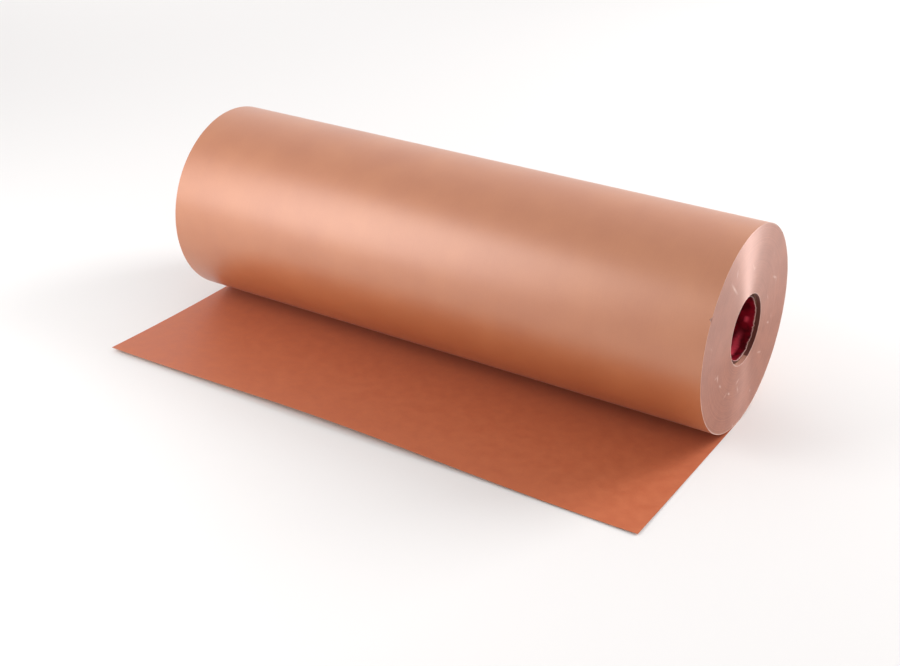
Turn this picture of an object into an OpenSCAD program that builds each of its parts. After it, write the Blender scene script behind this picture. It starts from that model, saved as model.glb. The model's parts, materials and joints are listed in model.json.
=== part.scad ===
// Wide roll of copper foil tape, standing on its side with its loose end laid out flat.
//
// The web is a laminate of copper foil, adhesive and release liner. It is wound foil side out
// on a paperboard core, leaves the roll at the bottom and lies on the floor in front of it.
// X runs along the roll, the loose end points to -Y, and Z is up. The origin is on the floor,
// at the middle of the whole object's outline.

/* [Roll] */
// Width of the web, which is the length of the roll
web_w = 762; // [300:1:1000]
// Outer diameter of the wound roll
roll_d = 252; // [120:1:300]
// Length of the web that lies on the floor in front of the roll
tail_l = 266; // [130:2:400]
// Angle of the stretch of web that comes down the back of the roll to the floor
bend_angle = 60; // [50:1:85]

/* [Core] */
// Inside diameter of the core, which takes a mandrel
core_bore_d = 76.2; // [50.8:0.1:80]
// Wall thickness of the core
core_wall = 5.1; // [3:0.1:8]
// Thickness of the red coated ply that lines the bore
red_ply_t = 0.4; // [0.2:0.1:0.8]
// Thickness of the kraft ply round the outside of the core
kraft_ply_t = 0.5; // [0.2:0.1:0.8]
// Distance from each end of the roll back to the end of the core
core_recess = 5.5; // [1:0.5:12]

/* [Web] */
// Thickness of the copper foil
foil_t = 0.05; // [0.03:0.01:0.1]
// Thickness of the adhesive coat
adhesive_t = 0.05; // [0.03:0.01:0.1]
// Thickness of the paper release liner
liner_t = 0.10; // [0.06:0.01:0.2]
// Gap between the roll and the web that peels away under it
peel_gap = 0.10; // [0.05:0.05:0.3]

/* [Start of the web] */
// Thickness of the double-sided tape that holds the web's first lap on the core
start_tape_t = 0.2; // [0.15:0.05:0.3]
// Angle of the core that the tape covers
start_tape_angle = 60; // [20:1:90]
// Distance from each end of the core to the tape
start_tape_inset = 12; // [5:1:40]

/* [Hidden] */

$fn = 128;

COPPER = "#c98a6a";
LINER = "#a85a38";
ADHESIVE = "#e8dcc8";
RED_PLY = "#8c1020";
BOARD = "#8a7460";
KRAFT = "#a5815c";
TAPE = "#f0ead8";

web_t = foil_t + adhesive_t + liner_t;
roll_r = roll_d / 2;
core_bore_r = core_bore_d / 2;
core_r = core_bore_r + core_wall;
core_l = web_w - 2 * core_recess;

// the roll stands on the web that has peeled off it
axis_z = web_t + peel_gap + roll_r;
// this puts the origin midway between the loose end and the back of the roll
axis_y = (tail_l - roll_r) / 2;

// Radii of the last lap's layers, from the outside in
last_foil_r = roll_r - foil_t;
last_adhesive_r = last_foil_r - adhesive_t;
last_liner_r = last_adhesive_r - liner_t;

// Radii of the bend's layers, from the inside out
bend_in_r = roll_r + peel_gap;
bend_adhesive_r = bend_in_r + liner_t;
bend_foil_r = bend_adhesive_r + adhesive_t;
bend_out_r = bend_foil_r + foil_t;

// Turns a shape made round Z into one round the roll's axis.
// Its 0 degree direction then points straight down, and its angles grow towards the back.
module on_axis() {
    translate([0, axis_y, axis_z])
        rotate([0, 90, 0])
            children();
}

// Tube between two radii, of a given length, centred on the roll
module sleeve(inner_r, outer_r, length) {
    on_axis()
        rotate_extrude()
            translate([inner_r, -length / 2])
                square([outer_r - inner_r, length]);
}

// Part of such a tube that starts straight down and goes up the back of the roll
module sleeve_arc(inner_r, outer_r, length, angle) {
    on_axis()
        rotate_extrude(angle = angle)
            translate([inner_r, -length / 2])
                square([outer_r - inner_r, length]);
}

// Flat layer of the loose end, from one height to another
module tail_layer(bottom_z, top_z) {
    translate([-web_w / 2, axis_y - tail_l, bottom_z])
        cube([web_w, tail_l, top_z - bottom_z]);
}

// Double-sided tape on the core, under the first lap
module start_tape_shape() {
    sleeve_arc(core_r, core_r + start_tape_t, core_l - 2 * start_tape_inset, start_tape_angle);
}

// ---- core ----

module core_red_ply() {
    color(RED_PLY) sleeve(core_bore_r, core_bore_r + red_ply_t, core_l);
}

module core_board() {
    color(BOARD) sleeve(core_bore_r + red_ply_t, core_r - kraft_ply_t, core_l);
}

module core_kraft_ply() {
    color(KRAFT) sleeve(core_r - kraft_ply_t, core_r, core_l);
}

module start_tape() {
    color(TAPE) start_tape_shape();
}

// ---- wound web ----

// All the laps but the last, wound tight, with the first lap stepping over the start tape
module wound_laps() {
    color(COPPER) difference() {
        sleeve(core_r, last_liner_r, web_w);
        start_tape_shape();
    }
}

module last_lap_liner() {
    color(LINER) sleeve(last_liner_r, last_adhesive_r, web_w);
}

module last_lap_adhesive() {
    color(ADHESIVE) sleeve(last_adhesive_r, last_foil_r, web_w);
}

module last_lap_foil() {
    color(COPPER) sleeve(last_foil_r, roll_r, web_w);
}

// ---- web between the roll and the floor ----

module bend_liner() {
    color(LINER) sleeve_arc(bend_in_r, bend_adhesive_r, web_w, bend_angle);
}

module bend_adhesive() {
    color(ADHESIVE) sleeve_arc(bend_adhesive_r, bend_foil_r, web_w, bend_angle);
}

module bend_foil() {
    color(COPPER) sleeve_arc(bend_foil_r, bend_out_r, web_w, bend_angle);
}

// ---- loose end on the floor ----

module tail_liner() {
    color(LINER) tail_layer(foil_t + adhesive_t, web_t);
}

module tail_adhesive() {
    color(ADHESIVE) tail_layer(foil_t, foil_t + adhesive_t);
}

module tail_foil() {
    color(COPPER) tail_layer(0, foil_t);
}

core_red_ply();
core_board();
core_kraft_ply();
start_tape();
wound_laps();
last_lap_liner();
last_lap_adhesive();
last_lap_foil();
bend_liner();
bend_adhesive();
bend_foil();
tail_liner();
tail_adhesive();
tail_foil();
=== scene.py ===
"""Wide roll of copper foil tape on a paperboard core, its loose end laid out flat.

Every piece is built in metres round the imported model, whose boxes, joints and mounts give all
the places and sizes. X runs along the roll, the loose end lies towards -Y and Z is up.
"""

import json
import logging
import math
from dataclasses import dataclass
from enum import Enum
from typing import Any, Sequence

import bpy
from mathutils import Matrix, Vector, noise


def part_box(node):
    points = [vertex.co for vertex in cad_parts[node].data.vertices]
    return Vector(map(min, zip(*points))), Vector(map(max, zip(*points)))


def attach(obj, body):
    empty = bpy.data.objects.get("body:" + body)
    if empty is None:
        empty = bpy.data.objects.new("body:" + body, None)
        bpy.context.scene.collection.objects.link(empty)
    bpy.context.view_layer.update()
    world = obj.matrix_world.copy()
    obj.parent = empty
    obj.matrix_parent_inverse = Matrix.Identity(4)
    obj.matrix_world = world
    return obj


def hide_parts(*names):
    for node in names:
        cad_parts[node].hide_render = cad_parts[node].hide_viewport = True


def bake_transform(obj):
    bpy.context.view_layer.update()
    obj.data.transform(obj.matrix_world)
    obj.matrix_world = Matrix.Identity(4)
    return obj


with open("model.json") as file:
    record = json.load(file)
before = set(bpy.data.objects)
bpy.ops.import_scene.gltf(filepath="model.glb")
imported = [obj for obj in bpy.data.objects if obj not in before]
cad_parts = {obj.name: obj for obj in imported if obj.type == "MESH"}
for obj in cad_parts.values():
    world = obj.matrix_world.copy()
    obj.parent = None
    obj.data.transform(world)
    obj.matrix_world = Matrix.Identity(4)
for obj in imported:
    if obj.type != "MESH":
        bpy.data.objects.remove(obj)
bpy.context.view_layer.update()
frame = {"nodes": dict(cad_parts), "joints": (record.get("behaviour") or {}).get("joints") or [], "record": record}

logging.basicConfig(level=logging.INFO, format="%(name)s: %(message)s")
log = logging.getLogger("foil_roll")

MM = 0.001

Point = tuple[float, float, float]
Face = tuple[int, ...]


class Body(Enum):
    """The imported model's bodies that the pieces ride on."""

    TAIL = "laid_tail"
    BEND = "peeling_bend"
    ROLL = "roll"


class Slot(Enum):
    """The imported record's material slots."""

    FOIL = "copper_foil"
    EDGES = "wound_web_edge"
    LINER = "release_liner"
    RED_PLY = "core_red_ply"
    BOARD = "core_board"
    KRAFT = "core_kraft_ply"
    TAPE = "start_tape"


class End(Enum):
    """The two ends of the roll, as the sign of X."""

    LEFT = -1
    RIGHT = 1


# ---- helpers ----


def linear(hex_colour: str) -> tuple[float, float, float, float]:
    """Turns an sRGB hex colour into the linear colour that shaders take.

    Args:
        hex_colour: The colour as #RRGGBB.

    Returns:
        Linear red, green and blue, and an alpha of 1.
    """
    channels = [int(hex_colour[i : i + 2], 16) / 255 for i in (1, 3, 5)]
    red, green, blue = (
        c / 12.92 if c <= 0.04045 else ((c + 0.055) / 1.055) ** 2.4 for c in channels
    )
    return red, green, blue, 1.0


def add_node(tree: bpy.types.NodeTree, kind: str, settings: dict[str, Any] | None = None,
             inputs: dict[str | int, Any] | None = None) -> bpy.types.Node:
    """Adds one shader node, with its settings and its links.

    Args:
        tree: The node tree that gets the node.
        kind: The node's type, without the ShaderNode in front.
        settings: Properties of the node.
        inputs: A value for each input, or the output that it is linked to.

    Returns:
        The new node.
    """
    node = tree.nodes.new("ShaderNode" + kind)
    for name, value in (settings or {}).items():
        setattr(node, name, value)
    for name, value in (inputs or {}).items():
        if isinstance(value, bpy.types.NodeSocket):
            tree.links.new(value, node.inputs[name])
        else:
            node.inputs[name].default_value = value
    return node


def new_material(name: str) -> tuple[bpy.types.Material, bpy.types.NodeTree]:
    """Makes a material with nothing in its tree but the output.

    Args:
        name: The material's name.

    Returns:
        The material and its node tree.
    """
    material = bpy.data.materials.new(name)
    material.use_nodes = True
    tree = material.node_tree
    tree.nodes.clear()
    tree.nodes.new("ShaderNodeOutputMaterial")
    return material, tree


def finish_material(tree: bpy.types.NodeTree, shader: bpy.types.Node) -> None:
    """Links a shader to its tree's output."""
    tree.links.new(shader.outputs[0], tree.nodes["Material Output"].inputs["Surface"])


def distance_from_axis(tree: bpy.types.NodeTree, place: bpy.types.NodeSocket,
                       axis: Point) -> bpy.types.NodeSocket:
    """Measures a place's distance from the roll's axis, for patterns that run in rings.

    Args:
        tree: The node tree that gets the nodes.
        place: The output that gives the place.
        axis: A point on the axis.

    Returns:
        The output that gives the distance.
    """
    from_axis = add_node(tree, "Mapping", inputs={
        "Vector": place, "Location": (0.0, -axis[1], -axis[2]), "Scale": (0.0, 1.0, 1.0)})
    length = add_node(tree, "VectorMath", {"operation": "LENGTH"}, {0: from_axis.outputs[0]})
    return length.outputs["Value"]


def add_mesh(name: str, points: Sequence[Point], faces: Sequence[Face],
             materials: Sequence[bpy.types.Material], slots: Sequence[int] | None = None,
             sharp_above: float = math.radians(35)) -> bpy.types.Object:
    """Makes a shaded mesh object in the scene.

    Args:
        name: The piece's name.
        points: The mesh's points, in metres.
        faces: Each face's points, by number, anticlockwise from outside.
        materials: The object's materials.
        slots: The number of each face's material, or None where there is one.
        sharp_above: Edges that turn by more than this angle are shaded as sharp.

    Returns:
        The new object.
    """
    mesh = bpy.data.meshes.new(name)
    mesh.from_pydata(points, [], faces)
    mesh.polygons.foreach_set("use_smooth", [True] * len(mesh.polygons))
    for material in materials:
        mesh.materials.append(material)
    if slots is not None:
        mesh.polygons.foreach_set("material_index", slots)
    mesh.set_sharp_from_angle(angle=sharp_above)
    mesh.update()
    piece = bpy.data.objects.new(name, mesh)
    bpy.context.scene.collection.objects.link(piece)
    return piece


def add_point_values(piece: bpy.types.Object, name: str, values: Sequence[float]) -> None:
    """Stores one number for each of a piece's points, for its material to read."""
    attribute = piece.data.attributes.new(name, "FLOAT", "POINT")
    attribute.data.foreach_set("value", values)


def grid_faces(rows: int, columns: int, closed: bool, start: int = 0,
               flipped: bool = False) -> list[Face]:
    """Works out the faces between the rows of a grid of points.

    Args:
        rows: How many rows of points there are.
        columns: How many points each row has.
        closed: Whether each row's last point joins its first.
        start: The number of the grid's first point.
        flipped: Whether the faces look the other way.

    Returns:
        The faces, each with four points.
    """
    faces = []
    for row in range(rows - 1):
        for column in range(columns if closed else columns - 1):
            beside = (column + 1) % columns
            a, b = start + row * columns + column, start + row * columns + beside
            face = (a, b, b + columns, a + columns)
            faces.append(face[::-1] if flipped else face)
    return faces


def join_rows(first: int, second: int, columns: int, flipped: bool = False) -> list[Face]:
    """Works out the faces between two closed rows of points.

    Args:
        first: The number of the one row's first point.
        second: The number of the other row's first point.
        columns: How many points each row has.
        flipped: Whether the faces look the other way.

    Returns:
        The faces, each with four points.
    """
    faces = []
    for step in range(columns):
        beside = (step + 1) % columns
        face = (first + step, first + beside, second + beside, second + step)
        faces.append(face[::-1] if flipped else face)
    return faces


def round_axis(axis: Point, x: float, radius: float, angle: float) -> Point:
    """Places a point round the roll's axis.

    Args:
        axis: A point on the axis.
        x: The place along the roll.
        radius: The distance from the axis.
        angle: The angle round the axis, growing from straight down, up the back.

    Returns:
        The point.
    """
    return x, axis[1] + radius * math.sin(angle), axis[2] - radius * math.cos(angle)


def smooth_step(low: float, high: float, value: float) -> float:
    """Rises smoothly from 0 at low to 1 at high."""
    share = min(1.0, max(0.0, (value - low) / (high - low)))
    return share * share * (3 - 2 * share)


def ripple(x: float, y: float, z: float = 0.0) -> float:
    """Smooth noise from about -1 to 1, the same on every run."""
    return noise.noise(Vector((x, y, z)))


def radius_of(node: str) -> float:
    """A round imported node's outer radius."""
    low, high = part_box(node)
    return (high.z - low.z) / 2


def dress_node(name: str, finish: bpy.types.Material) -> None:
    """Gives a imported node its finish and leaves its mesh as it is.

    Args:
        name: The node's name.
        finish: Its material.
    """
    node = frame["nodes"][name]
    node.data.materials.clear()
    node.data.materials.append(finish)
    log.info("%s: dressed", name)


# ---- finishes ----


@dataclass(frozen=True)
class LacqueredCopperFoil:
    """Rolled copper foil under a matt lacquer.

    Cold rolling leaves hair-fine lines along the web, and the lacquer spreads the highlight and
    lays a pale sheen over the copper, so it looks satin and not like a mirror.
    """

    copper: str = "#C47846"
    shade: str = "#B86A3A"
    metallic: float = 0.22
    roughness: float = 0.55
    lacquer: float = 1.0
    lacquer_roughness: float = 0.42
    # a hard lacquer, which mirrors more than the usual 1.5
    lacquer_ior: float = 1.9
    haze: float = 0.05
    # the real lines are 0.05 mm apart: drawn coarser, so that they show at all
    line_spacing: float = 1.1 * MM
    line_length: float = 160 * MM
    # the lacquer's orange-peel grain
    grain: float = 0.9 * MM
    cloud: float = 60 * MM

    def build(self) -> bpy.types.Material:
        """Makes the material.

        Returns:
            The material.
        """
        material, tree = new_material("copper_foil_rolled_and_lacquered")
        place = add_node(tree, "TexCoord").outputs["Object"]
        along_web = add_node(tree, "Mapping", inputs={
            "Vector": place,
            "Scale": (1 / self.line_spacing, 1 / self.line_length, 1 / self.line_length)})
        lines = add_node(tree, "TexNoise", inputs={
            "Vector": along_web.outputs[0], "Scale": 1.0, "Detail": 2.0, "Roughness": 0.6})
        grain = add_node(tree, "TexNoise", inputs={
            "Vector": place, "Scale": 1 / self.grain, "Detail": 2.0})
        clouds = add_node(tree, "TexNoise", inputs={
            "Vector": place, "Scale": 1 / self.cloud, "Detail": 3.0})
        tone = add_node(tree, "Math", {"operation": "MULTIPLY_ADD"}, {
            0: grain.outputs["Fac"], 1: 0.45, 2: clouds.outputs["Fac"]})
        mixed_tone = add_node(tree, "Math", {"operation": "MULTIPLY_ADD"}, {
            0: lines.outputs["Fac"], 1: 0.35, 2: tone.outputs[0]})
        ramp = add_node(tree, "ValToRGB", inputs={"Fac": add_node(tree, "MapRange", inputs={
            "Value": mixed_tone.outputs[0], "From Min": 0.6, "From Max": 1.2}).outputs[0]})
        ramp.color_ramp.elements[0].color = linear(self.shade)
        ramp.color_ramp.elements[1].color = linear(self.copper)
        rough = add_node(tree, "MapRange", inputs={
            "Value": lines.outputs["Fac"], "From Min": 0.3, "From Max": 0.7,
            "To Min": self.roughness - 0.05, "To Max": self.roughness + 0.05})
        line_bump = add_node(tree, "Bump", inputs={
            "Height": lines.outputs["Fac"], "Strength": 0.05, "Distance": 0.0002})
        grain_bump = add_node(tree, "Bump", inputs={
            "Height": grain.outputs["Fac"], "Strength": 0.16, "Distance": 0.0002,
            "Normal": line_bump.outputs[0]})
        shader = add_node(tree, "BsdfPrincipled", inputs={
            "Base Color": ramp.outputs["Color"], "Metallic": self.metallic,
            "Roughness": rough.outputs[0], "Coat Weight": self.lacquer,
            "Coat Roughness": self.lacquer_roughness,
            "Coat IOR": self.lacquer_ior, "Sheen Weight": self.haze, "Sheen Roughness": 0.35,
            "Normal": grain_bump.outputs[0]})
        finish_material(tree, shader)
        return material


@dataclass(frozen=True)
class SlitWebEdges:
    """The slit edges of hundreds of laps, copper between paper and adhesive.

    The knife leaves each lap's edge bright, and the laps lie side by side in rings, so light is
    drawn out into a streak along the radius and the copper looks pale and pink.
    """

    axis: Point
    pale: str = "#A86A53"
    deep: str = "#8C5441"
    # the pale colour of the nicks, and of the painted highlight along the rims
    nick: str = "#F3DDD2"
    bright: str = "#F7DBD3"
    # the share of the face that is bare metal at the top; less towards the bottom, a painted shade on the lower
    # streak
    metal_share: float = 0.26
    roughness: float = 0.62
    anisotropy: float = 0.84
    # rings of laps that were wound a little tighter or looser
    ring: float = 1.5 * MM
    # single laps are 0.2 mm: drawn at three times that, so that they show
    lap: float = 0.6 * MM
    smudge: float = 22 * MM

    def build(self) -> bpy.types.Material:
        """Makes the material.

        Returns:
            The material.
        """
        material, tree = new_material("slit_web_edges_wound_in_rings")
        place = add_node(tree, "TexCoord").outputs["Object"]
        radius = distance_from_axis(tree, place, self.axis)
        rings, laps = (
            add_node(tree, "TexNoise", {"noise_dimensions": "1D"}, {
                "W": radius, "Scale": 1 / spacing, "Detail": 2.0})
            for spacing in (self.ring, self.lap))
        smudges = add_node(tree, "TexNoise", inputs={
            "Vector": place, "Scale": 1 / self.smudge, "Detail": 4.0, "Roughness": 0.6})
        tone = add_node(tree, "Math", {"operation": "MULTIPLY_ADD"}, {
            0: rings.outputs["Fac"], 1: 0.8, 2: smudges.outputs["Fac"]})
        fine_tone = add_node(tree, "Math", {"operation": "MULTIPLY_ADD"}, {
            0: laps.outputs["Fac"], 1: 0.5, 2: tone.outputs[0]})
        ramp = add_node(tree, "ValToRGB", inputs={"Fac": add_node(tree, "MapRange", inputs={
            "Value": fine_tone.outputs[0], "From Min": 0.8, "From Max": 1.5}).outputs[0]})
        ramp.color_ramp.elements[0].color = linear(self.deep)
        ramp.color_ramp.elements[1].color = linear(self.pale)
        # pale marks: real nicks, and a painted highlight along the rims
        patches = add_node(tree, "Attribute", {"attribute_name": "nick"})
        colour = add_node(tree, "Mix", {"data_type": "RGBA"}, {
            "Factor": patches.outputs["Fac"], 6: ramp.outputs["Color"], 7: linear(self.nick)})
        lap_bump = add_node(tree, "Bump", inputs={
            "Height": laps.outputs["Fac"], "Strength": 0.35, "Distance": 0.0002})
        tangent = add_node(tree, "Tangent", {"direction_type": "RADIAL", "axis": "X"})
        paper = add_node(tree, "BsdfPrincipled", inputs={
            "Base Color": colour.outputs[2], "Roughness": 0.6, "Normal": lap_bump.outputs[0]})
        metal = add_node(tree, "BsdfPrincipled", inputs={
            "Base Color": linear(self.bright), "Metallic": 1.0, "Roughness": self.roughness,
            "Anisotropic": self.anisotropy, "Anisotropic Rotation": 0.25,
            "Normal": lap_bump.outputs[0], "Tangent": tangent.outputs[0]})
        # less bare metal towards the bottom of each end: a painted shade on the lower streak
        burnish = add_node(tree, "Attribute", {"attribute_name": "burnish"})
        bare = add_node(tree, "Math", {"operation": "MULTIPLY"}, {
            0: burnish.outputs["Fac"], 1: self.metal_share})
        shader = add_node(tree, "MixShader", inputs={
            0: bare.outputs[0], 1: paper.outputs[0], 2: metal.outputs[0]})
        finish_material(tree, shader)
        return material


@dataclass(frozen=True)
class CoatedLiner:
    """Glassine release paper, dyed copper brown and coated.

    It is calendered and thinly coated, so it is smoother than plain paper, nearly matt, and
    takes a pink sheen at low angles. Its fibres give it a fine, cloudy tone.
    """

    name: str = "release_paper_dyed_and_coated"
    brown: str = "#C76C3F"
    deep: str = "#B5582F"
    roughness: float = 0.52
    fuzz: float = 0.28
    # fibre flocks in the sheet
    flock: float = 14 * MM
    # single fibres are 0.02 mm wide: drawn as coarse as they show
    fibre: float = 0.8 * MM

    def build(self) -> bpy.types.Material:
        """Makes the material.

        Returns:
            The material.
        """
        material, tree = new_material(self.name)
        place = add_node(tree, "TexCoord").outputs["Object"]
        flocks = add_node(tree, "TexNoise", inputs={
            "Vector": place, "Scale": 1 / self.flock, "Detail": 4.0, "Roughness": 0.62})
        fibres = add_node(tree, "TexNoise", inputs={
            "Vector": place, "Scale": 1 / self.fibre, "Detail": 3.0})
        tone = add_node(tree, "Math", {"operation": "MULTIPLY_ADD"}, {
            0: fibres.outputs["Fac"], 1: 0.45, 2: flocks.outputs["Fac"]})
        ramp = add_node(tree, "ValToRGB", inputs={"Fac": add_node(tree, "MapRange", inputs={
            "Value": tone.outputs[0], "From Min": 0.35, "From Max": 1.15}).outputs[0]})
        ramp.color_ramp.elements[0].color = linear(self.deep)
        ramp.color_ramp.elements[1].color = linear(self.brown)
        rough = add_node(tree, "MapRange", inputs={
            "Value": flocks.outputs["Fac"], "From Min": 0.3, "From Max": 0.7,
            "To Min": self.roughness - 0.04, "To Max": self.roughness + 0.06})
        bump = add_node(tree, "Bump", inputs={
            "Height": fibres.outputs["Fac"], "Strength": 0.12, "Distance": 0.0002})
        shader = add_node(tree, "BsdfPrincipled", inputs={
            "Base Color": ramp.outputs["Color"], "Roughness": rough.outputs[0],
            "Sheen Weight": self.fuzz, "Sheen Roughness": 0.4, "Normal": bump.outputs[0]})
        finish_material(tree, shader)
        return material


@dataclass(frozen=True)
class RedCoatedPaper:
    """Red printed and varnished paper, wound in a spiral to line the core.

    The varnish is glossy over a deep red, so it goes nearly black where it mirrors the dark
    bore; its pink patches are a painted highlight.
    """

    painted_flash: str = "#FF566C"
    red: str = "#B80F2C"
    dark: str = "#570510"
    torn: str = "#FFCFC8"
    roughness: float = 0.3
    varnish_roughness: float = 0.1
    dent: float = 17 * MM

    def build(self) -> bpy.types.Material:
        """Makes the material.

        Returns:
            The material.
        """
        material, tree = new_material("paper_red_and_varnished")
        place = add_node(tree, "TexCoord").outputs["Object"]
        dents = add_node(tree, "TexNoise", inputs={
            "Vector": place, "Scale": 1 / self.dent, "Detail": 3.0, "Roughness": 0.55})
        ramp = add_node(tree, "ValToRGB", inputs={"Fac": dents.outputs["Fac"]})
        ramp.color_ramp.elements[0].position = 0.42
        ramp.color_ramp.elements[1].position = 0.72
        ramp.color_ramp.elements[0].color = linear(self.dark)
        ramp.color_ramp.elements[1].color = linear(self.red)
        # the pink patches are a painted highlight
        scuffed = add_node(tree, "Attribute", {"attribute_name": "scuffed"})
        with_painted_highlight = add_node(tree, "Mix", {"data_type": "RGBA"}, {
            "Factor": scuffed.outputs["Fac"], 6: ramp.outputs["Color"], 7: linear(self.painted_flash)})
        torn = add_node(tree, "Attribute", {"attribute_name": "torn"})
        colour = add_node(tree, "Mix", {"data_type": "RGBA"}, {
            "Factor": torn.outputs["Fac"], 6: with_painted_highlight.outputs[2], 7: linear(self.torn)})
        bump = add_node(tree, "Bump", inputs={
            "Height": dents.outputs["Fac"], "Strength": 0.35, "Distance": 0.003})
        shader = add_node(tree, "BsdfPrincipled", inputs={
            "Base Color": colour.outputs[2], "Roughness": self.roughness,
            "Coat Weight": 1.0, "Coat Roughness": self.varnish_roughness,
            "Normal": bump.outputs[0]})
        finish_material(tree, shader)
        return material


@dataclass(frozen=True)
class SpiralPaperboard:
    """Brown paperboard, glued ply on ply in a spiral and sawn off.

    Recycled board is matt and flecked, and the saw leaves its plies as pale fuzzy rings.
    """

    name: str
    axis: Point
    board: str
    fleck: str
    roughness: float = 0.85
    ply: float = 0.7 * MM
    fibre: float = 1.2 * MM

    def build(self) -> bpy.types.Material:
        """Makes the material.

        Returns:
            The material.
        """
        material, tree = new_material(self.name)
        place = add_node(tree, "TexCoord").outputs["Object"]
        radius = distance_from_axis(tree, place, self.axis)
        plies = add_node(tree, "TexNoise", {"noise_dimensions": "1D"}, {
            "W": radius, "Scale": 1 / self.ply, "Detail": 1.0})
        fibres = add_node(tree, "TexNoise", inputs={
            "Vector": place, "Scale": 1 / self.fibre, "Detail": 4.0, "Roughness": 0.7})
        tone = add_node(tree, "Math", {"operation": "ADD"}, {
            0: plies.outputs["Fac"], 1: fibres.outputs["Fac"]})
        ramp = add_node(tree, "ValToRGB", inputs={"Fac": add_node(tree, "MapRange", inputs={
            "Value": tone.outputs[0], "From Min": 0.7, "From Max": 1.3}).outputs[0]})
        ramp.color_ramp.elements[0].color = linear(self.fleck)
        ramp.color_ramp.elements[1].color = linear(self.board)
        bump = add_node(tree, "Bump", inputs={
            "Height": tone.outputs[0], "Strength": 0.4, "Distance": 0.0003})
        shader = add_node(tree, "BsdfPrincipled", inputs={
            "Base Color": ramp.outputs["Color"], "Roughness": self.roughness,
            "Normal": bump.outputs[0]})
        finish_material(tree, shader)
        return material


@dataclass(frozen=True)
class TissueTape:
    """Double-sided tissue tape with acrylic adhesive.

    The adhesive soaks the tissue, so it is creamy, faintly mottled and half glossy.
    """

    cream: str = "#EDE4CC"
    soaked: str = "#DCCFA9"
    roughness: float = 0.4
    mottle: float = 5 * MM

    def build(self) -> bpy.types.Material:
        """Makes the material.

        Returns:
            The material.
        """
        material, tree = new_material("tissue_tape_with_acrylic_adhesive")
        place = add_node(tree, "TexCoord").outputs["Object"]
        mottles = add_node(tree, "TexNoise", inputs={
            "Vector": place, "Scale": 1 / self.mottle, "Detail": 3.0})
        ramp = add_node(tree, "ValToRGB", inputs={"Fac": mottles.outputs["Fac"]})
        ramp.color_ramp.elements[0].color = linear(self.soaked)
        ramp.color_ramp.elements[1].color = linear(self.cream)
        shader = add_node(tree, "BsdfPrincipled", inputs={
            "Base Color": ramp.outputs["Color"], "Roughness": self.roughness})
        finish_material(tree, shader)
        return material


@dataclass(frozen=True)
class BackgroundPaper:
    """Matt white background paper, which shows nothing but the soft shadows."""

    white: str = "#EEEDEC"
    roughness: float = 0.9

    def build(self) -> bpy.types.Material:
        """Makes the material.

        Returns:
            The material.
        """
        material, tree = new_material("background_paper_matt_white")
        shader = add_node(tree, "BsdfPrincipled", inputs={
            "Base Color": linear(self.white), "Roughness": self.roughness,
            "Specular IOR Level": 0.1})
        finish_material(tree, shader)
        return material


# ---- the object ----


@dataclass(frozen=True)
class Stroke:
    """A short straight scratch on an end face, strongest along its middle."""

    # its middle, from the roll's axis
    y: float
    z: float
    # the angle of its length, from +Y towards +Z
    direction: float
    half_length: float
    half_width: float
    strength: float

    def at(self, y: float, z: float) -> float:
        """How strongly a place is scratched.

        Args:
            y: The place's distance from the axis along Y.
            z: The place's distance from the axis along Z.

        Returns:
            The strength, from 0 to 1.
        """
        right, up = y - self.y, z - self.z
        if abs(right) > self.half_length or abs(up) > self.half_length:
            return 0.0
        along = abs(right * math.cos(self.direction) + up * math.sin(self.direction))
        across = abs(up * math.cos(self.direction) - right * math.sin(self.direction))
        return self.strength * max(0.0, 1 - across / self.half_width) * max(
            0.0, 1 - along / self.half_length)


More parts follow.
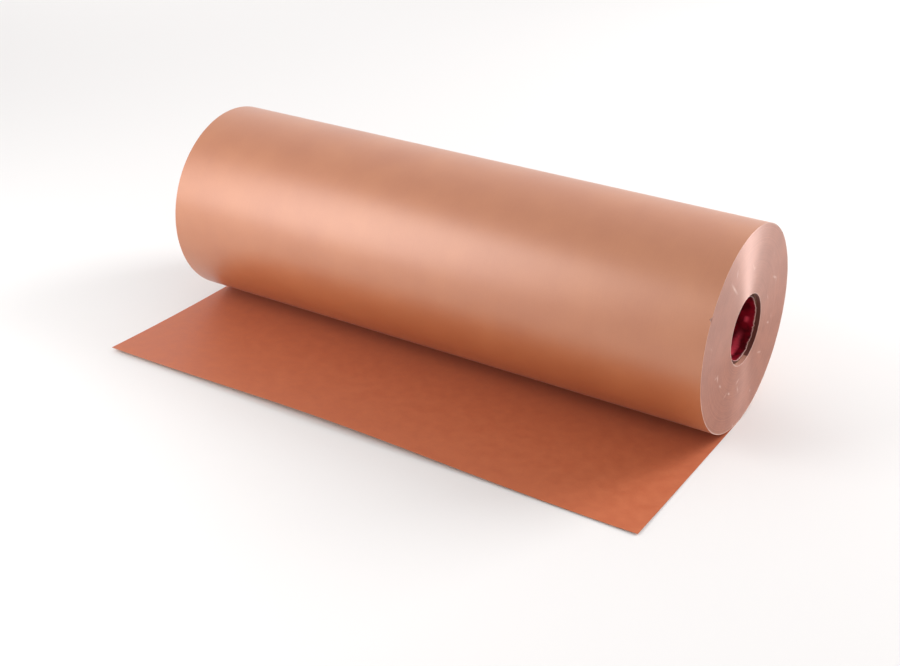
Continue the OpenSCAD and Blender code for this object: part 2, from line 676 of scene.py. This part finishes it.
@dataclass
class WoundRoll:
    """The wound web: the outer lap, and all the laps under it with their slit edges."""

    axis: Point
    radius: float
    inner_radius: float
    core_radius: float
    half_length: float
    # how finely the outer lap and the body of laps are divided
    around: int = 720
    rows_along: int = 64
    around_laps: int = 410
    rings: int = 120
    nicks: int = 22
    nick_depth: float = 0.25 * MM
    # how far single laps lie back from the roll's end
    edge_wander: float = 0.35 * MM
    # the web's thickness, by which each lap lies further out than the last
    lap_pitch: float = 0.2 * MM
    # how far the outer lap's edges lie back at most
    last_lap_step: float = 0.12 * MM
    # the outer lap isn't wound quite tight
    slack: float = 0.045 * MM
    slack_length: float = 110 * MM
    # a gap that keeps the laps' outer wall clear of the outer lap
    clearance: float = 0.02 * MM
    # the small tear in the last laps' edge at the right end
    notch_angle: float = math.radians(241)
    notch_half_angle: float = math.radians(1.5)
    notch_depth: float = 2.4 * MM
    notch_laps: float = 1.7 * MM
    # the width of the pale rims of the end faces, a painted highlight
    rim: float = 1.3 * MM
    # the ends' share of bare metal at the bottom, a painted shade that dims the lower streak
    least_painted_streak_light: float = 0.25
    # where the first lap's inner face gets painted light, in degrees from straight down; painted shade lies round
    # the rest
    painted_light_span: tuple[float, float] = (320, 18)

    def edge_notch(self, end: End, angle: float) -> float:
        """How far the outer lap's edge is torn in at an angle, in metres.

        Args:
            end: Which end of the roll the edge is at.
            angle: The angle round the roll.

        Returns:
            The depth of the tear there.
        """
        if end is End.LEFT:
            return 0.0
        apart = abs(angle - self.notch_angle) / self.notch_half_angle
        return self.notch_depth * max(0.0, 1 - apart)

    def build_outer_lap(self, finish: bpy.types.Material) -> bpy.types.Object:
        """Builds the outer lap, a thin tube of web with its two slit edges.

        Args:
            finish: The foil's material.

        Returns:
            The piece.
        """
        points: list[Point] = []
        xs = [self.half_length * (2 * row / (self.rows_along - 1) - 1)
              for row in range(self.rows_along)]
        for layer in (self.radius, self.inner_radius):
            for row, x in enumerate(xs):
                for step in range(self.around):
                    angle = 2 * math.pi * step / self.around
                    along = x
                    if row in (0, self.rows_along - 1):
                        end = End.LEFT if row == 0 else End.RIGHT
                        wander = self.last_lap_step * (
                            0.6 + 0.4 * ripple(3 * math.cos(angle), 3 * math.sin(angle), end.value))
                        along = x - end.value * (wander + self.edge_notch(end, angle))
                    slack = 0.0
                    if layer == self.radius:
                        slack = self.slack * (1 + ripple(
                            x / self.slack_length, 1.6 * math.cos(angle), 1.6 * math.sin(angle)))
                    points.append(round_axis(self.axis, along, layer - slack, angle))
        count = self.around * self.rows_along
        faces = grid_faces(self.rows_along, self.around, True, flipped=True)
        faces += grid_faces(self.rows_along, self.around, True, start=count)
        last = count - self.around
        faces += join_rows(0, count, self.around)
        faces += join_rows(last, last + count, self.around, flipped=True)
        return add_mesh("outer_lap", points, faces, [finish])

    def lap_offset(self, end: End, radius: float, angle: float) -> float:
        """How far a lap's edge lies back from the roll's end, in metres.

        Args:
            end: Which end of the roll the edge is at.
            radius: The lap's radius.
            angle: The angle round the roll.

        Returns:
            The distance back, between nothing and the wander of the edges.
        """
        turn = radius / self.lap_pitch - angle / (2 * math.pi)
        slow = ripple(turn / 46, 0.3, 5.0 * end.value)
        quick = ripple(turn / 7.3, 4.1, 5.0 * end.value)
        tilt = ripple(1.2 * math.cos(angle), 1.2 * math.sin(angle), radius / 0.03)
        return self.edge_wander * (0.5 + 0.3 * slow + 0.25 * quick + 0.12 * tilt)

    def build_laps(self, finish: bpy.types.Material,
                   inside: Sequence[bpy.types.Material]) -> bpy.types.Object:
        """Builds the body of laps, whose ends are rings of slit edges.

        Args:
            finish: The slit edges' material.
            inside: The materials of the first lap's inner face: a painted shade all round,
            and a painted light near the bottom, where the recess is open to the light.

        Returns:
            The piece.
        """
        around = self.around_laps
        outer = self.inner_radius - self.clearance
        radii = [self.core_radius + (outer - self.core_radius) * ring / (self.rings - 1)
                 for ring in range(self.rings)]
        points: list[Point] = []
        nicks: list[float] = []
        burnish: list[float] = []
        for end in (End.LEFT, End.RIGHT):
            marks = self.nick_marks(end)
            for radius in radii:
                for step in range(around):
                    angle = 2 * math.pi * step / around
                    y, z = radius * math.sin(angle), -radius * math.cos(angle)
                    nick = max(mark.at(y, z) for mark in marks)
                    back = self.lap_offset(end, radius, angle) + self.nick_depth * nick
                    back += self.edge_notch(end, angle) * smooth_step(
                        outer - self.notch_laps, outer - 0.5 * self.notch_laps, radius)
                    # the rims take the nicks' pale colour as a painted highlight
                    nick = max(nick, self.rim_highlight(radius, angle))
                    x = end.value * (self.half_length - back)
                    points.append(round_axis(self.axis, x, radius, angle))
                    nicks.append(nick)
                    # bare metal share, high at the top and low at the bottom: a painted shade on the lower streak
                    burnish.append(self.least_painted_streak_light + (1 - self.least_painted_streak_light) * smooth_step(
                        -0.6, 0.9, z / radius))
        count = self.rings * around
        faces = grid_faces(self.rings, around, True)
        faces += grid_faces(self.rings, around, True, start=count, flipped=True)
        slots = [0] * len(faces)
        last = count - around
        faces += join_rows(0, count, around, flipped=True)
        # the first lap's inner face, seen in the recess: painted light near the bottom, painted shade round the
        # rest
        lit_from, lit_to = self.painted_light_span
        slots += [1 if lit_to < 360 * step / around < lit_from else 2
                  for step in range(around)]
        faces += join_rows(last, last + count, around)
        slots += [1] * around
        piece = add_mesh("wound_laps_with_slit_edges", points, faces, [finish, *inside], slots,
                         sharp_above=math.radians(50))
        add_point_values(piece, "nick", nicks)
        add_point_values(piece, "burnish", burnish)
        return piece

    def rim_highlight(self, radius: float, angle: float) -> float:
        """How strongly the first and last laps' edges get a painted highlight.

        Args:
            radius: The place's distance from the axis.
            angle: The angle round the roll.

        Returns:
            The strength, from 0 to 1.
        """
        outside = smooth_step(self.inner_radius - self.rim, self.inner_radius, radius)
        inside = 1 - smooth_step(self.core_radius, self.core_radius + self.rim, radius)
        patchy = 0.55 + 0.45 * ripple(9 * math.cos(angle), 9 * math.sin(angle), 8.0)
        return max(outside, 0.8 * inside) * patchy

    def nick_marks(self, end: End) -> list[Stroke]:
        """Places the small nicks where handling has bruised an end's slit edges.

        Args:
            end: Which end of the roll they are at.

        Returns:
            The nicks, with one longer scratch above the bore at the right end.
        """
        marks = []
        for number in range(self.nicks):
            chance = [0.5 + 0.9 * ripple(3.7 * number + 0.4, 2.3 * k + 0.6, 9.1 * end.value)
                      for k in range(5)]
            angle = 2 * math.pi * (number * 0.381966 + 0.3 * chance[0])
            radius = self.core_radius + (0.06 + 0.86 * chance[1]) * (
                self.inner_radius - self.core_radius)
            marks.append(Stroke(
                y=radius * math.sin(angle), z=-radius * math.cos(angle),
                direction=2.9 * chance[2] + 1.1, half_length=(3.0 + 9.0 * chance[3] ** 2) * MM,
                half_width=(1.0 + 1.1 * chance[4]) * MM, strength=0.15 + 0.45 * chance[4]))
        if end is End.RIGHT:
            marks.append(Stroke(y=-49 * MM, z=72 * MM, direction=math.radians(-45),
                                half_length=17 * MM, half_width=1.7 * MM, strength=0.75))
        return marks

    def dress(self, foil: bpy.types.Material, edges: bpy.types.Material,
              liners: Sequence[bpy.types.Material]) -> None:
        """Builds the roll's pieces, sets what each rides on and hides the nodes they replace.

        Args:
            foil: The outer lap's material.
            edges: The slit edges' material.
            liners: The materials of the first lap's inner face, painted shade and painted light.
        """
        lap = self.build_outer_lap(foil)
        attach(lap, Body.ROLL.value)
        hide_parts("last_lap_foil", "last_lap_adhesive", "last_lap_liner")
        log.info("outer lap: %d points", len(lap.data.vertices))
        laps = self.build_laps(edges, liners)
        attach(laps, Body.ROLL.value)
        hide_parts("wound_laps")
        log.info("wound laps: %d points", len(laps.data.vertices))


@dataclass
class PaperCore:
    """The paperboard tube that the web is wound on, and the red paper that lines it."""

    axis: Point
    bore_radius: float
    lining_radius: float
    board_radius: float
    half_length: float
    around: int = 288
    plies: int = 7
    lining_rows: int = 150
    # the lining's number among the plies, which gives it a frayed edge of its own
    lining_ply: float = 9.0
    # how far the lining's torn edge stands out past the board's frayed one
    lining_stands_out: float = 2 * MM
    # a gap that keeps the lining's outer face clear of the board
    clearance: float = 0.02 * MM
    # the lining is wound as a strip, whose seam goes once round in this length
    seam_pitch: float = 118 * MM
    swell_length: float = 21 * MM
    # the depths and half widths of the painted highlight patches behind the torn edge
    highlight_depth: float = 14.5 * MM
    highlight_half_width: float = 6 * MM
    short_highlight_depth: float = 10 * MM
    short_highlight_half_width: float = 4 * MM

    def rag(self, angle: float, ply: float, end: End) -> float:
        """How far a ply's sawn edge is frayed back.

        Args:
            angle: The angle round the core.
            ply: The ply's number.
            end: Which end of the core the edge is at.

        Returns:
            The distance back, in metres.
        """
        broad = ripple(4 * math.cos(angle), 4 * math.sin(angle), 3.0 * end.value + ply)
        fine = ripple(15 * math.cos(angle), 15 * math.sin(angle), 7.0 * end.value + ply)
        return MM * max(0.0, 0.6 + 0.8 * broad + 1.1 * fine)

    def build_board(self, finish: bpy.types.Material) -> bpy.types.Object:
        """Builds the board tube, with its plies frayed at the sawn ends.

        Args:
            finish: The board's material.

        Returns:
            The piece.
        """
        points: list[Point] = []
        profile: list[tuple[End, float, float]] = []
        thickness = (self.board_radius - self.lining_radius) / self.plies
        for end in (End.RIGHT, End.LEFT):
            plies = range(self.plies) if end is End.RIGHT else reversed(range(self.plies))
            for ply in plies:
                low = self.lining_radius + ply * thickness
                pair = (low + 0.08 * thickness, low + 0.92 * thickness)
                for radius in pair if end is End.RIGHT else pair[::-1]:
                    profile.append((end, radius, float(ply)))
        for end, radius, ply in profile:
            for step in range(self.around):
                angle = 2 * math.pi * step / self.around
                x = end.value * (self.half_length - self.rag(angle, ply, end))
                points.append(round_axis(self.axis, x, radius, angle))
        rows = len(profile)
        faces = grid_faces(rows, self.around, True, flipped=True)
        faces += join_rows(0, (rows - 1) * self.around, self.around)
        return add_mesh("core_board_tube", points, faces, [finish])

    def build_lining(self, finish: bpy.types.Material) -> bpy.types.Object:
        """Builds the red lining, dented all along and torn at both ends.

        Args:
            finish: The red paper's material.

        Returns:
            The piece.
        """
        rows = self.lining_rows
        wall = self.lining_radius - self.bore_radius
        points: list[Point] = []
        torn: list[float] = []
        scuffed: list[float] = []
        for layer in (0, 1):
            for row in range(rows):
                share = row / (rows - 1)
                for step in range(self.around):
                    angle = 2 * math.pi * step / self.around
                    end = End.LEFT if share < 0.5 else End.RIGHT
                    edge = self.half_length + self.lining_stands_out
                    edge -= self.rag(angle, self.lining_ply, end)
                    # rows crowd together towards the ends, where the paper is seen
                    x = edge * math.sin((share - 0.5) * math.pi)
                    inset = self.dent(x, angle, wall) if layer == 0 else wall - self.clearance
                    points.append(round_axis(self.axis, x, self.bore_radius + inset, angle))
                    from_edge = edge - abs(x)
                    fibre = 0.5 + 0.5 * ripple(23 * math.cos(angle), 23 * math.sin(angle), 2.0)
                    torn.append(1 - smooth_step(0.0, (0.5 + 2.6 * fibre) * MM, from_edge))
                    # the pink patches of painted highlight low in the bore
                    scuffed.append(self.painted_highlight_at(from_edge, angle))
        count = rows * self.around
        faces = grid_faces(rows, self.around, True)
        faces += grid_faces(rows, self.around, True, start=count, flipped=True)
        last = count - self.around
        faces += join_rows(0, count, self.around, flipped=True)
        faces += join_rows(last, last + count, self.around)
        piece = add_mesh("red_core_lining", points, faces, [finish])
        add_point_values(piece, "torn", torn)
        add_point_values(piece, "scuffed", scuffed)
        return piece

    def painted_highlight_at(self, depth: float, angle: float) -> float:
        """How strongly the lining gets its pink painted highlight, from 0 to 1.

        Args:
            depth: The distance in from the lining's edge.
            angle: The angle round the bore.

        Returns:
            The strength of a painted highlight, which runs low round the bore behind each end,
            and a short one goes on from it halfway up.
        """
        degrees = math.degrees(angle)
        patches = 0.5 + 0.5 * ripple(11 * angle, depth / (3 * MM), 6.2)
        low = smooth_step(-4, 8, degrees) * (1 - smooth_step(28, 66, degrees))
        high = smooth_step(72, 77, degrees) * (1 - smooth_step(82, 88, degrees))
        low *= max(0.0, 1 - abs(depth - self.highlight_depth) / self.highlight_half_width)
        high *= max(0.0, 1 - abs(depth - self.short_highlight_depth) / self.short_highlight_half_width)
        return min(1.0, (2.0 * low + 1.6 * high) * (0.3 + 0.9 * patches))

    def dent(self, x: float, angle: float, wall: float) -> float:
        """How far the lining's inner face is pressed back, in metres.

        Args:
            x: The place along the core.
            angle: The angle round it.
            wall: The lining's thickness, the most that it can be pressed.

        Returns:
            The depth of the dent, with the groove of the paper's spiral seam.
        """
        seam = (x / self.seam_pitch + angle / (2 * math.pi)) % 1.0
        groove = 1 - smooth_step(0.0, 0.02, min(seam, 1 - seam))
        swell = 0.5 + 0.5 * ripple(
            x / self.swell_length, 2.3 * math.cos(angle), 2.3 * math.sin(angle))
        return wall * min(0.85, 0.55 * swell + 0.3 * groove)

    def dress(self, board: bpy.types.Material, lining: bpy.types.Material,
              kraft: bpy.types.Material) -> None:
        """Builds the core's pieces, sets what each rides on and hides the nodes they replace.

        Args:
            board: The board tube's material.
            lining: The red lining's material.
            kraft: The outer ply's material.
        """
        tube = self.build_board(board)
        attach(tube, Body.ROLL.value)
        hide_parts("core_board")
        log.info("board tube: %d points", len(tube.data.vertices))
        red = self.build_lining(lining)
        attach(red, Body.ROLL.value)
        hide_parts("core_red_ply")
        log.info("red lining: %d points", len(red.data.vertices))
        dress_node("core_kraft_ply", kraft)


@dataclass
class LooseEnd:
    """The web from its free edge, along the floor, under the roll and up its back."""

    axis: Point
    roll_radius: float
    gap: float
    thickness: float
    half_width: float
    free_y: float
    bend_angle: float
    columns: int = 150
    rows_flat: int = 120
    rows_bend: int = 44
    # how far the free edge stands off the floor along its arch and at its corners
    arch_lift: float = 7.6 * MM
    corner_lift: float = 4.4 * MM
    right_corner_lift: float = 1.4 * MM
    # the length of web from the free edge over which it comes down to the floor
    lift_length: float = 200 * MM
    # the arch's middle and width, as shares of half the web's width
    arch_middle: float = -0.08
    arch_width: float = 0.59
    wave: float = 0.22 * MM
    # the bend sinks this much further than its thickness, so that it ends inside the roll
    overlap: float = 0.03 * MM
    # how much the rows crowd together towards the free edge
    crowding: float = 1.4
    bodies: tuple[Body, Body] = (Body.TAIL, Body.BEND)

    @property
    def flat_length(self) -> float:
        """The length of web that lies on the floor."""
        return self.axis[1] - self.free_y

    def lifted(self, x: float, from_edge: float) -> float:
        """How far the web stands off the floor, in metres.

        Args:
            x: The place along the roll.
            from_edge: The distance from the free edge.

        Returns:
            The height of the web's underside: the free edge curls up in a low arch, more at
            the left corner than at the right, and faint waves die out towards the roll.
        """
        share = x / self.half_width
        arch = self.arch_lift * math.exp(
            -((share - self.arch_middle) / self.arch_width) ** 2)
        corner = self.corner_lift * ((1 - share) / 2) ** 2
        corner += self.right_corner_lift * max(0.0, share) ** 6
        near = max(0.0, 1 - from_edge / self.lift_length)
        edge_lift = (arch + corner) * near ** 2
        fade = smooth_step(0.0, 0.5, 1 - from_edge / self.flat_length)
        waves = self.wave * (1 + ripple(x / 0.13, from_edge / 0.09, 2.7)) * fade
        return edge_lift + waves

    def centre(self, x: float, row: int, outward: float) -> Point:
        """A point of the sheet.

        Args:
            x: The place along the roll.
            row: The row, counted from the free edge.
            outward: The distance from the sheet's upper face, away from the roll.

        Returns:
            The point.
        """
        inner = self.roll_radius + self.gap
        if row < self.rows_flat:
            from_edge = self.flat_length * (row / self.rows_flat) ** self.crowding
            top = self.axis[2] - inner
            return (x, self.free_y + from_edge, top - outward + self.lifted(x, from_edge))
        share = (row - self.rows_flat) / (self.rows_bend - 1)
        angle = self.bend_angle * share
        # the web closes up on the lap under it, and goes on as that lap
        closing = smooth_step(0.45, 1.0, share) * (
            self.gap + self.thickness + self.overlap)
        return round_axis(self.axis, x, inner + outward - closing, angle)

    def build(self, liner: bpy.types.Material, foil: bpy.types.Material) -> bpy.types.Object:
        """Builds the sheet, with the liner on its upper face and the foil on its lower face.

        Args:
            liner: The release liner's material.
            foil: The foil's material.

        Returns:
            The piece.
        """
        rows = self.rows_flat + self.rows_bend
        points: list[Point] = []
        for outward in (0.0, self.thickness):
            for row in range(rows):
                for column in range(self.columns):
                    x = self.half_width * (2 * column / (self.columns - 1) - 1)
                    points.append(self.centre(x, row, outward))
        count = rows * self.columns
        faces = grid_faces(rows, self.columns, False)
        slots = [0] * len(faces)
        faces += grid_faces(rows, self.columns, False, start=count, flipped=True)
        edge = list(range(self.columns))
        edge += [row * self.columns + self.columns - 1 for row in range(1, rows)]
        edge += [(rows - 1) * self.columns + c for c in reversed(range(self.columns - 1))]
        edge += [row * self.columns for row in reversed(range(1, rows - 1))]
        for a, b in zip(edge, edge[1:] + edge[:1]):
            faces.append((b, a, a + count, b + count))
        slots += [1] * (len(faces) - len(slots))
        return add_mesh("loose_web", points, faces, [liner, foil], slots)

    def dress(self, liner: bpy.types.Material, foil: bpy.types.Material,
              floor: bpy.types.Object) -> None:
        """Builds the sheet, hides the nodes that it replaces and bakes its place into its mesh.

        Args:
            liner: The release liner's material.
            foil: The foil's material.
            floor: Not used.
        """
        web = self.build(liner, foil)
        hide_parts("tail_foil", "tail_adhesive", "tail_liner",
                    "bend_foil", "bend_adhesive", "bend_liner")
        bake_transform(web)


@dataclass
class Studio:
    """The floor, the lights and the camera."""

    # the camera's aim, its angles round it in degrees, and its distance
    aim: Point
    azimuth: float = 32.961
    elevation: float = 27.982
    bank: float = -0.4125
    distance: float = 1.8854
    lens: float = 56.89
    floor_size: float = 40.0
    floor_drop: float = 0.05 * MM
    # the height of the roll's middle, which the softboxes face
    heart_height: float = 0.12
    # the room is brightest behind the object, and dim in front and overhead
    bright_side: Point = (-0.35, 0.92, -0.08)
    room_dim: str = "#A9A7A6"
    room_bright: str = "#F2F0F1"
    room_strength: float = 1.12

    def add_floor(self, finish: bpy.types.Material) -> bpy.types.Object:
        """Lays the pale floor just under the object.

        Args:
            finish: The floor's material.

        Returns:
            The floor.
        """
        half = self.floor_size / 2
        points = [(-half, -half, -self.floor_drop), (half, -half, -self.floor_drop),
                  (half, half, -self.floor_drop), (-half, half, -self.floor_drop)]
        floor = add_mesh("studio_floor", points, [(0, 1, 2, 3)], [finish])
        log.info("floor: laid")
        return floor

    def add_softbox(self, name: str, place: Point, aim: Point, size: tuple[float, float],
                    radiance: float, mirrored: bool = True) -> None:
        """Hangs one softbox.

        Args:
            name: The light's name.
            place: Its centre.
            aim: The point that it faces.
            size: Its width and height.
            radiance: How bright its face is.
            mirrored: Whether glossy surfaces mirror it.
        """
        data = bpy.data.lights.new(name, "AREA")
        data.shape = "RECTANGLE"
        data.size, data.size_y = size
        data.energy = radiance * math.pi * size[0] * size[1]
        light = bpy.data.objects.new(name, data)
        light.location = place
        light.rotation_mode = "QUATERNION"
        light.rotation_quaternion = (Vector(aim) - Vector(place)).to_track_quat("-Z", "Y")
        light.visible_camera = False
        light.visible_glossy = mirrored
        bpy.context.scene.collection.objects.link(light)
        log.info("light %s: radiance %.2f", name, radiance)

    def add_lights(self) -> None:
        """Sets softboxes at the front left, behind and over the background, in a pale room."""
        heart = (self.aim[0], self.aim[1], self.heart_height)
        self.add_softbox("key_softbox", place=(-0.76, -0.95, 0.77), aim=heart,
                         size=(0.75, 1.2), radiance=3.7)
        self.add_softbox("back_softbox", place=(1.72, 2.13, 1.45), aim=heart,
                         size=(1.3, 2.0), radiance=8.3)
        self.add_softbox("background_softbox", place=(-2.3, 1.7, 1.2), aim=(-1.8, 1.0, 0.0),
                         size=(1.2, 1.2), radiance=1.5, mirrored=False)
        world = bpy.data.worlds.new("pale_room")
        world.use_nodes = True
        tree = world.node_tree
        tree.nodes.clear()
        direction = add_node(tree, "TexCoord").outputs["Generated"]
        towards = add_node(tree, "VectorMath", {"operation": "DOT_PRODUCT"}, {
            0: direction, 1: self.bright_side}).outputs["Value"]
        ramp = add_node(tree, "ValToRGB", inputs={"Fac": add_node(tree, "MapRange", inputs={
            "Value": towards, "From Min": -0.9, "From Max": 0.9}).outputs[0]})
        ramp.color_ramp.elements[0].color = linear(self.room_dim)
        ramp.color_ramp.elements[1].color = linear(self.room_bright)
        room = add_node(tree, "Background", inputs={
            "Color": ramp.outputs["Color"], "Strength": self.room_strength})
        output = add_node(tree, "OutputWorld", inputs={"Surface": room.outputs[0]})
        output.is_active_output = True
        bpy.context.scene.world = world
        bpy.context.scene.view_settings.view_transform = "Standard"
        log.info("room: pale, dimmer in front")

    def add_camera(self) -> None:
        """Stands the camera where the aim, the angles and the distance put it."""
        turn, rise = math.radians(self.azimuth), math.radians(self.elevation)
        back = Vector((math.sin(turn) * math.cos(rise), -math.cos(turn) * math.cos(rise),
                       math.sin(rise)))
        data = bpy.data.cameras.new("camera")
        data.lens = self.lens
        data.sensor_width = 36.0
        camera = bpy.data.objects.new("camera", data)
        right = Vector((math.cos(turn), math.sin(turn), 0.0))
        up = back.cross(right)
        bank = Matrix.Rotation(math.radians(self.bank), 3, back)
        right, up = bank @ right, bank @ up
        camera.matrix_world = Matrix.Translation(Vector(self.aim) + back * self.distance) @ (
            Matrix((right, up, back)).transposed().to_4x4())
        bpy.context.scene.collection.objects.link(camera)
        bpy.context.scene.camera = camera
        log.info("camera: lens %.1f mm, %.2f m away", self.lens, self.distance)


def main() -> None:
    """Builds the studio and the object's pieces in order."""
    spin = next(joint for joint in frame["joints"] if joint["name"] == "roll_spin")
    axis = tuple(spin["pos_m"])
    bore = next(m for m in frame["record"]["mounts"] if m["name"] == "core_bore")
    roll_radius = radius_of("last_lap_foil")
    half_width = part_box("last_lap_foil")[1].x
    tail_low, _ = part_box("tail_foil")
    liner_low, liner_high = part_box("tail_liner")
    bend_low, bend_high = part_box("bend_foil")

    # the camera looks at the floor, a little left of the middle and nearly under the axis
    studio = Studio(aim=(-24.1 * MM, axis[1] - 2 * MM, 8.7 * MM))
    studio.add_camera()
    floor = studio.add_floor(BackgroundPaper().build())
    studio.add_lights()

    foil = LacqueredCopperFoil().build()
    liner = CoatedLiner().build()
    roll = WoundRoll(
        axis=axis, radius=roll_radius,
        inner_radius=radius_of("last_lap_liner") - (liner_high.z - liner_low.z),
        core_radius=radius_of("core_kraft_ply"), half_length=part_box("wound_laps")[1].x)
    # two copies of the liner for the first lap's inner face: a painted shade, and a painted light near the bottom
    # of the recess
    roll.dress(foil, SlitWebEdges(axis=axis).build(), [
        CoatedLiner("release_paper_darkened_by_handling", "#7A3F33", "#623026").build(),
        CoatedLiner("release_paper_rubbed_pale", "#D39A86", "#B87B66").build()])

    core = PaperCore(axis=axis, bore_radius=bore["dims"]["r_mm"] * MM,
                     lining_radius=radius_of("core_red_ply"),
                     board_radius=radius_of("core_board"), half_length=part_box("core_board")[1].x)
    # the board's colours are its own brown, darkened as a painted shade for the recess it stands in
    core.dress(
        SpiralPaperboard("paperboard_brown_and_sawn", axis, "#7F4A3E", "#54302A").build(),
        RedCoatedPaper().build(),
        SpiralPaperboard("kraft_paper_glued_and_sawn", axis, "#A98663", "#7E5F43").build())
    dress_node("start_tape", TissueTape().build())

    loose_end = LooseEnd(
        axis=axis, roll_radius=roll_radius, gap=axis[2] - roll_radius - liner_high.z,
        thickness=liner_high.z, half_width=half_width, free_y=tail_low.y,
        bend_angle=math.asin((bend_high.y - axis[1]) / (axis[2] - bend_low.z)))
    loose_end.dress(liner, foil, floor)


if __name__ == "__main__":
    main()
